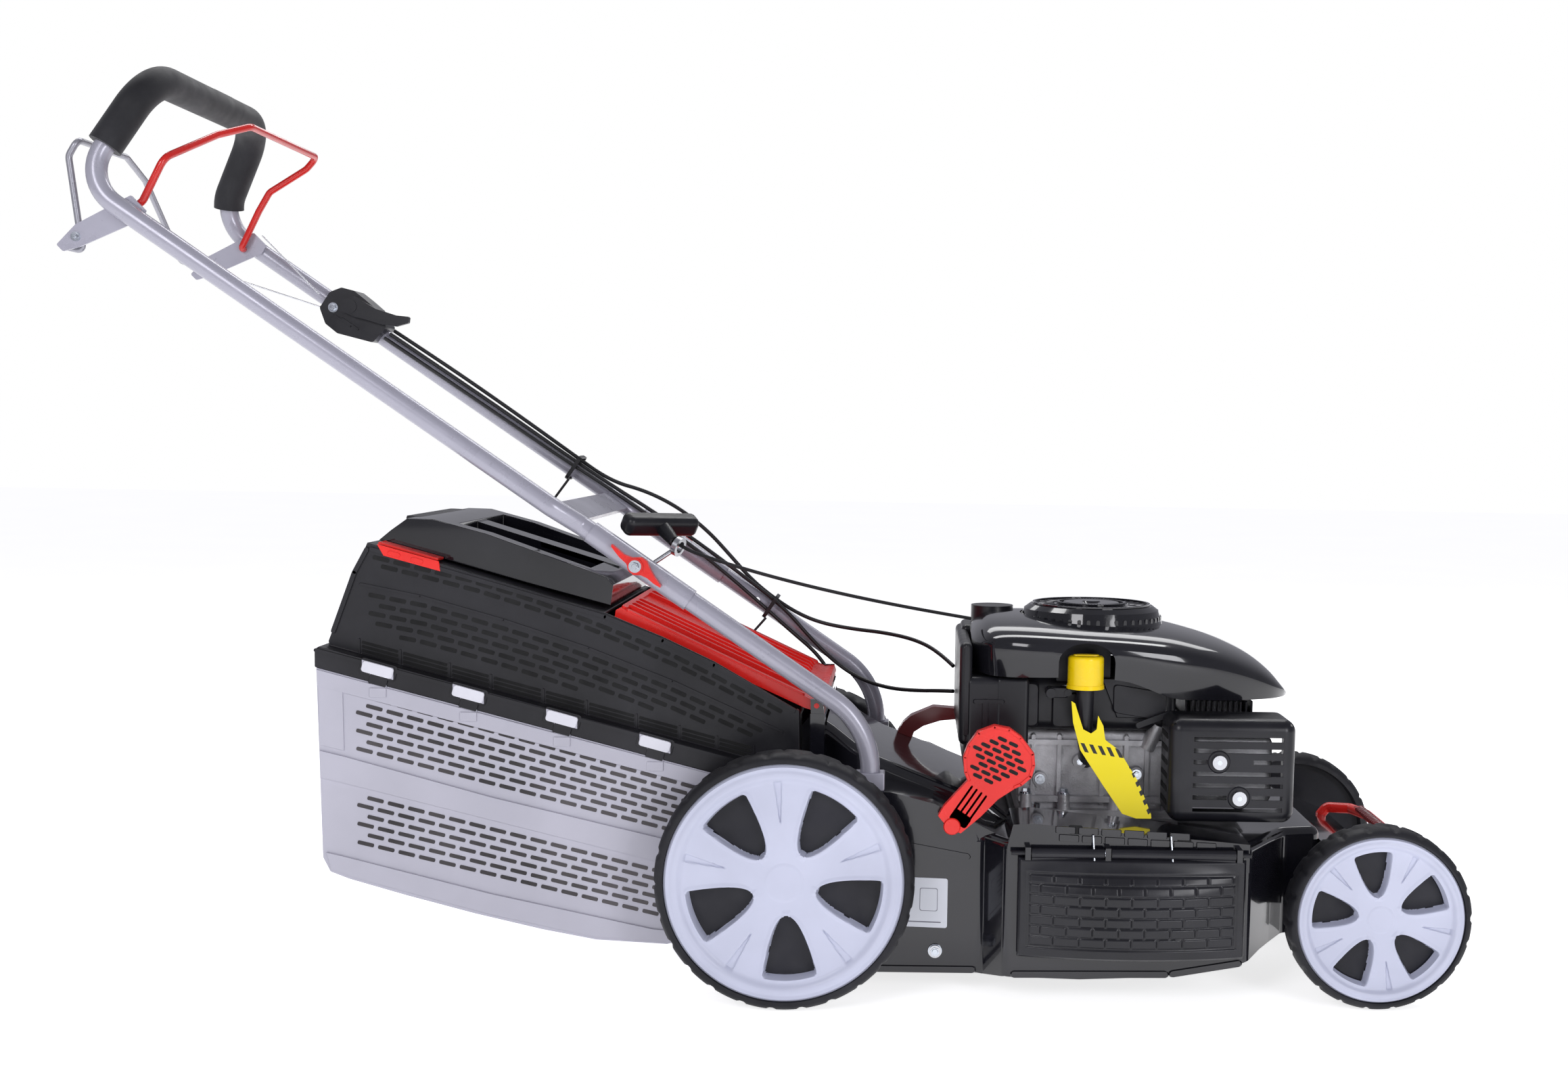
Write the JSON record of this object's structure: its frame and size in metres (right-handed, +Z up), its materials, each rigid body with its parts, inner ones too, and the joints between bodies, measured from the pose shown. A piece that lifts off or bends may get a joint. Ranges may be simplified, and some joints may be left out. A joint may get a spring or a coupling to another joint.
{
  "type": "lawn_mower",
  "caption": "Self-propelled petrol rotary lawn mower with steel deck, rear grass box, folding tube handle and two control bails",
  "frame": {"origin": "centre of the machine's bounding box in plan, on the ground plane", "axes": "+X forward, +Y to the mower's left, +Z up"},
  "size_m": [1.5486, 0.5494, 1.01],
  "materials": {
    "deck_black": "gloss",
    "handle_silver": "semi-gloss",
    "red_paint": "gloss",
    "grey_wire": "semi-gloss",
    "tyre_black": "matt",
    "hub_grey": "satin",
    "steel": "bright",
    "cast_alloy": "as cast",
    "black_gloss_plastic": "gloss",
    "black_plastic": "grained",
    "pale_plastic": "satin",
    "red_plastic": "satin",
    "yellow_plastic": "satin",
    "yellow_card": "printed",
    "foam": "foam",
    "cable_black": "satin",
    "rope_black": "braided",
    "guard_black": "satin"
  },
  "bodies": {
    "chassis": {"rear_axle": "steel", "front_axle": "steel", "deck_shell": "deck_black", "side_cover_rod": "steel", "front_carrier": "deck_black", "front_carry_handle": "red_paint", "rear_carry_handle": "red_plastic", "drive_gearbox": "cast_alloy", "drive_belt": "cable_black", "lower_handle": "handle_silver", "handle_mounts": "handle_silver", "crankcase": "cast_alloy", "cylinder_head": "cast_alloy", "blower_housing": "black_plastic", "engine_cowl": "black_gloss_plastic", "recoil_cover": "black_gloss_plastic", "fuel_tank": "black_plastic", "oil_filler_tube": "black_plastic", "oil_tag": "yellow_card", "muffler": "cast_alloy", "muffler_guard": "guard_black", "bolts": "steel", "lower_cable_tie": "cable_black"},
    "rear_right": {"rear_right_wheel": "tyre_black", "rear_right_hubcap": "hub_grey"},
    "rear_left": {"rear_left_wheel": "tyre_black", "rear_left_hubcap": "hub_grey"},
    "front_right": {"front_right_wheel": "tyre_black", "front_right_hubcap": "hub_grey"},
    "front_left": {"front_left_wheel": "tyre_black", "front_left_hubcap": "hub_grey"},
    "cutter": {"crankshaft": "steel", "blade": "steel"},
    "drive_pulley": {"gearbox_pulley": "black_plastic"},
    "handle": {"upper_handle": "handle_silver", "foam_grip": "foam", "bail_plates": "handle_silver", "throttle_housing": "black_plastic", "rope_guide": "steel", "upper_cable_tie": "cable_black", "throttle_cable": "cable_black", "brake_cable": "cable_black", "drive_cable": "cable_black", "bail_wires": "steel", "starter_rope": "rope_black"},
    "brake_lever": {"brake_bail": "red_paint"},
    "drive_lever": {"drive_bail": "grey_wire"},
    "throttle": {"throttle_lever": "black_plastic"},
    "right_clamp": {"wing_lever_right": "red_plastic"},
    "left_clamp": {"wing_lever_left": "red_plastic"},
    "pull_grip": {"starter_grip": "black_plastic"},
    "flap": {"rear_flap": "red_plastic"},
    "catcher": {"grass_box_lower": "pale_plastic", "grass_box_upper": "black_plastic", "grass_box_lid": "black_plastic"},
    "indicator": {"fill_indicator": "red_plastic"},
    "side_flap": {"side_cover": "black_gloss_plastic"},
    "cut_height": {"height_lever": "red_plastic"},
    "oil_cap": {"dipstick": "yellow_plastic"},
    "petrol_cap": {"fuel_cap": "black_plastic"}
  },
  "joints": [
    {"name": "rear_right_spin", "type": "hinge", "parent": "chassis", "child": "rear_right", "pos_m": [0.02324, -0.25, 0.14], "axis": [0, 1, 0], "continuous": true},
    {"name": "rear_left_spin", "type": "hinge", "parent": "chassis", "child": "rear_left", "pos_m": [0.02324, 0.25, 0.14], "axis": [0, 1, 0], "continuous": true},
    {"name": "front_right_spin", "type": "hinge", "parent": "chassis", "child": "front_right", "pos_m": [0.67284, -0.225, 0.1015], "axis": [0, 1, 0], "continuous": true},
    {"name": "front_left_spin", "type": "hinge", "parent": "chassis", "child": "front_left", "pos_m": [0.67284, 0.225, 0.1015], "axis": [0, 1, 0], "continuous": true},
    {"name": "blade_spin", "type": "hinge", "parent": "chassis", "child": "cutter", "pos_m": [0.37224, 0, 0.1], "axis": [0, 0, 1], "continuous": true},
    {"name": "drive_pulley_spin", "type": "hinge", "parent": "chassis", "child": "drive_pulley", "pos_m": [0.04524, 0, 0.159], "axis": [0, 0, 1], "continuous": true},
    {"name": "handle_height", "type": "slide", "parent": "chassis", "child": "handle", "axis": [0.8277, 0, -0.5612], "range_m": [0, 0.044], "deforming": ["throttle_cable", "brake_cable", "drive_cable", "starter_rope"]},
    {"name": "brake_bail_swing", "type": "hinge", "parent": "handle", "child": "brake_lever", "pos_m": [-0.70576, 0, 0.841], "axis": [0, -1, 0], "range_deg": [0, 17], "stiffness_Nm_per_rad": 0.8, "springref_deg": -34.38},
    {"name": "drive_bail_swing", "type": "hinge", "parent": "handle", "child": "drive_lever", "pos_m": [-0.75276, 0, 0.817], "axis": [0, 1, 0], "range_deg": [0, 9], "stiffness_Nm_per_rad": 0.8, "springref_deg": -34.38},
    {"name": "throttle_swing", "type": "hinge", "parent": "handle", "child": "throttle", "pos_m": [-0.56476, 0.166, 0.77], "axis": [0, 1, 0], "range_deg": [-25, 20]},
    {"name": "right_wing_turn", "type": "hinge", "parent": "handle", "child": "right_clamp", "pos_m": [-0.14676, -0.198, 0.47205], "axis": [0, 1, 0], "range_deg": [-60, 60]},
    {"name": "left_wing_turn", "type": "hinge", "parent": "handle", "child": "left_clamp", "pos_m": [-0.14676, 0.198, 0.47205], "axis": [0, 1, 0], "range_deg": [-60, 60]},
    {"name": "starter_pull", "type": "slide", "parent": "handle", "child": "pull_grip", "axis": [-0.5513, 0.6515, 0.5212], "range_m": [0, 0.35], "stiffness_N_per_m": 15, "springref_m": -0.25},
    {"name": "rear_flap_lift", "type": "hinge", "parent": "chassis", "child": "flap", "pos_m": [0.05024, 0, 0.315], "axis": [0, 1, 0], "range_deg": [0, 10]},
    {"name": "grass_box_pull", "type": "slide", "parent": "chassis", "child": "catcher", "axis": [-1, 0, 0], "range_m": [0, 0.25]},
    {"name": "fill_indicator_lift", "type": "hinge", "parent": "catcher", "child": "indicator", "pos_m": [-0.43376, -0.155, 0.4902], "axis": [0, -1, 0], "range_deg": [0, 25]},
    {"name": "side_cover_lift", "type": "hinge", "parent": "chassis", "child": "side_flap", "pos_m": [0.39824, -0.244, 0.171], "axis": [-1, 0, 0], "range_deg": [0, 60], "stiffness_Nm_per_rad": 0.4, "springref_deg": -34.38},
    {"name": "cutting_height_swing", "type": "hinge", "parent": "chassis", "child": "cut_height", "pos_m": [0.20324, -0.2075, 0.192], "axis": [0, 1, 0], "range_deg": [-25, 18]},
    {"name": "dipstick_turn", "type": "hinge", "parent": "chassis", "child": "oil_cap", "pos_m": [0.35424, -0.134, 0.355], "axis": [0, 0, 1], "range_deg": [0, 90]},
    {"name": "fuel_cap_turn", "type": "hinge", "parent": "chassis", "child": "petrol_cap", "pos_m": [0.25524, 0.058, 0.401], "axis": [0, 0, 1], "range_deg": [0, 90]}
  ],
  "couplings": [
    {"joint": "drive_pulley_spin", "follows": "blade_spin", "ratio": 1}
  ]
}
